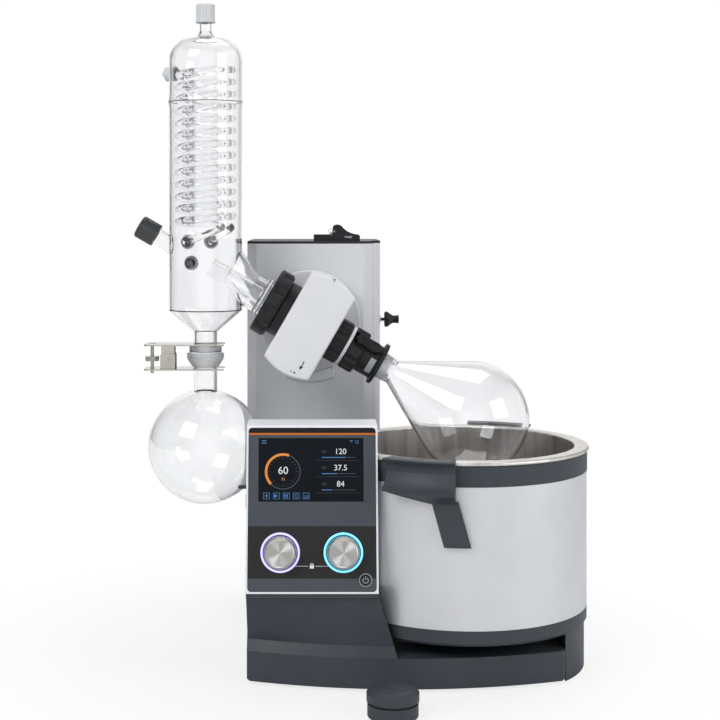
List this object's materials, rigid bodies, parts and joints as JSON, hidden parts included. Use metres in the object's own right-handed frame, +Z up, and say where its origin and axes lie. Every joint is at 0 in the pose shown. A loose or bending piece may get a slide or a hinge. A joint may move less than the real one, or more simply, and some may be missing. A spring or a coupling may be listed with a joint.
{
  "type": "rotary evaporator",
  "caption": "Rotary evaporator with vertical coil condenser, tilting lift-mounted drive, pear flask over a heating bath, control panel and receiving flask.",
  "frame": {"origin": "on the bench, at the underside of the middle foot, straight below the crossing of the tilt axis and the rotation axis", "axes": "+X to the right along the instrument's front, +Y away from the user, +Z up"},
  "size_m": [0.517, 0.5165, 0.7442],
  "materials": {
    "shell_white": "satin",
    "drive_white": "satin",
    "plastic_dark": "matte",
    "plastic_black": "matte",
    "panel_glass": "gloss",
    "display": "gloss",
    "ring_light": "lit",
    "tower_silver": "satin anodised",
    "drum_silver": "satin metallic",
    "steel": "brushed",
    "knob_steel": "radially brushed",
    "pot_steel": "satin",
    "clamp_steel": "bright",
    "cast_metal": "cast",
    "rubber": "matte",
    "belt": "matte",
    "seal": "matte",
    "glass_clear": "clear",
    "pale_ring": "satin",
    "cap_grey": "satin"
  },
  "bodies": {
    "base": {"base_plate": "plastic_dark", "rubber_feet": "rubber", "bath_rail": "steel", "dock_housing": "plastic_dark", "column_shell": "tower_silver", "column_cap": "plastic_black", "guide_rods": "steel", "actuator_tube": "steel", "panel_shell": "shell_white", "panel_front": "panel_glass", "display_glass": "display", "light_rings": "ring_light", "power_inlet": "plastic_black", "side_connector": "plastic_dark"},
    "lift": {"carriage_cover": "tower_silver", "carriage_cap": "plastic_black", "carriage_block": "cast_metal", "tilt_bearing": "cast_metal", "actuator_rod": "steel"},
    "release": {"release_lever": "plastic_black"},
    "thumb": {"thumb_knob": "plastic_black"},
    "head": {"swivel_disc": "drive_white", "drive_housing": "drive_white", "drive_collar": "plastic_black", "vacuum_seal": "seal", "hub_bearings": "steel", "drive_motor": "steel", "drive_belt": "belt", "condenser": "glass_clear", "cooling_coil": "glass_clear", "hose_connectors": "cap_grey", "joint_ring": "pale_ring", "receiving_flask": "glass_clear", "clamp_lower": "clamp_steel"},
    "rotor": {"rotor_hub": "cast_metal", "vapour_tube": "glass_clear", "ribbed_nut": "plastic_black", "clip_ring": "pale_ring", "flask_clip": "plastic_black", "evaporating_flask": "glass_clear"},
    "clip_latch": {"clip_lever": "plastic_black"},
    "motor": {"motor_pulley": "cast_metal"},
    "union": {"union_nut": "plastic_black"},
    "feed": {"feed_cap": "cap_grey"},
    "top": {"top_cap": "cap_grey"},
    "jaw": {"clamp_jaw": "clamp_steel"},
    "screw": {"clamp_wheel": "clamp_steel"},
    "left_push": {"left_knob_shaft": "steel"},
    "left_dial": {"left_knob": "knob_steel"},
    "right_push": {"right_knob_shaft": "steel"},
    "right_dial": {"right_knob": "knob_steel"},
    "power": {"power_button": "plastic_black"},
    "bath": {"bath_base": "plastic_dark", "bath_drum": "drum_silver", "bath_band": "plastic_dark", "bath_pot": "pot_steel", "bath_heater": "steel", "bath_handles": "plastic_dark"},
    "puck": {"puck_base": "plastic_dark"},
    "puck_dial": {"puck_cap": "plastic_dark"}
  },
  "joints": [
    {"name": "lift_slide", "type": "slide", "parent": "base", "child": "lift", "axis": [0, 0, 1], "range_m": [0, 0.15]},
    {"name": "release_slide", "type": "slide", "parent": "lift", "child": "release", "axis": [1, 0, 0], "range_m": [0, 0.008], "stiffness_N_per_m": 200},
    {"name": "thumb_turn", "type": "hinge", "parent": "base", "child": "thumb", "pos_m": [0.0866, 0.15, 0.3697], "axis": [1, 0, 0], "continuous": true},
    {"name": "head_tilt", "type": "hinge", "parent": "lift", "child": "head", "pos_m": [0, 0, 0.3746], "axis": [0, 1, 0], "range_deg": [-15, 10]},
    {"name": "rotor_spin", "type": "hinge", "parent": "head", "child": "rotor", "pos_m": [0, 0, 0.3746], "axis": [0.866, 0, -0.5], "continuous": true},
    {"name": "clip_open", "type": "hinge", "parent": "rotor", "child": "clip_latch", "pos_m": [0.05775, -0.01792, 0.35863], "axis": [-0.383, -0.6428, -0.6634], "range_deg": [0, 35], "stiffness_Nm_per_rad": 0.05},
    {"name": "motor_spin", "type": "hinge", "parent": "head", "child": "motor", "pos_m": [0, 0.0335, 0.3746], "axis": [0.866, 0, -0.5], "continuous": true},
    {"name": "union_turn", "type": "hinge", "parent": "head", "child": "union", "pos_m": [0, 0, 0.3746], "axis": [0.866, 0, -0.5], "continuous": true},
    {"name": "feed_turn", "type": "hinge", "parent": "head", "child": "feed", "pos_m": [-0.18619, 0, 0.4821], "axis": [0.866, 0, -0.5], "continuous": true},
    {"name": "top_turn", "type": "hinge", "parent": "head", "child": "top", "pos_m": [-0.1201, 0, 0.733], "axis": [0, 0, 1], "continuous": true},
    {"name": "jaw_open", "type": "hinge", "parent": "head", "child": "jaw", "pos_m": [-0.1629, 0, 0.3351], "axis": [0, -1, 0], "range_deg": [0, 8]},
    {"name": "screw_turn", "type": "hinge", "parent": "head", "child": "screw", "pos_m": [-0.1817, 0, 0.335], "axis": [0, 0, 1], "continuous": true},
    {"name": "left_press", "type": "slide", "parent": "base", "child": "left_push", "axis": [0, 0.9813, -0.1922], "range_m": [0, 0.001], "stiffness_N_per_m": 600},
    {"name": "left_turn", "type": "hinge", "parent": "left_push", "child": "left_dial", "pos_m": [-0.0297, -0.15689, 0.14591], "axis": [0, -0.9813, 0.1922], "continuous": true},
    {"name": "right_press", "type": "slide", "parent": "base", "child": "right_push", "axis": [0, 0.9813, -0.1922], "range_m": [0, 0.001], "stiffness_N_per_m": 600},
    {"name": "right_turn", "type": "hinge", "parent": "right_push", "child": "right_dial", "pos_m": [0.0367, -0.15689, 0.14591], "axis": [0, -0.9813, 0.1922], "continuous": true},
    {"name": "power_press", "type": "slide", "parent": "base", "child": "power", "axis": [0, 0.9813, -0.1922], "range_m": [0, 0.001], "stiffness_N_per_m": 300},
    {"name": "bath_slide", "type": "slide", "parent": "base", "child": "bath", "axis": [1, 0, 0], "range_m": [0, 0.03]},
    {"name": "puck_place", "type": "slide", "parent": "base", "child": "puck", "axis": [0, -1, 0], "range_m": [0, 0.05]},
    {"name": "puck_turn", "type": "hinge", "parent": "puck", "child": "puck_dial", "pos_m": [0.085, -0.233, 0.0135], "axis": [0, 0, 1], "continuous": true}
  ],
  "couplings": [
    {"joint": "motor_spin", "follows": "rotor_spin", "ratio": 2.275}
  ]
}
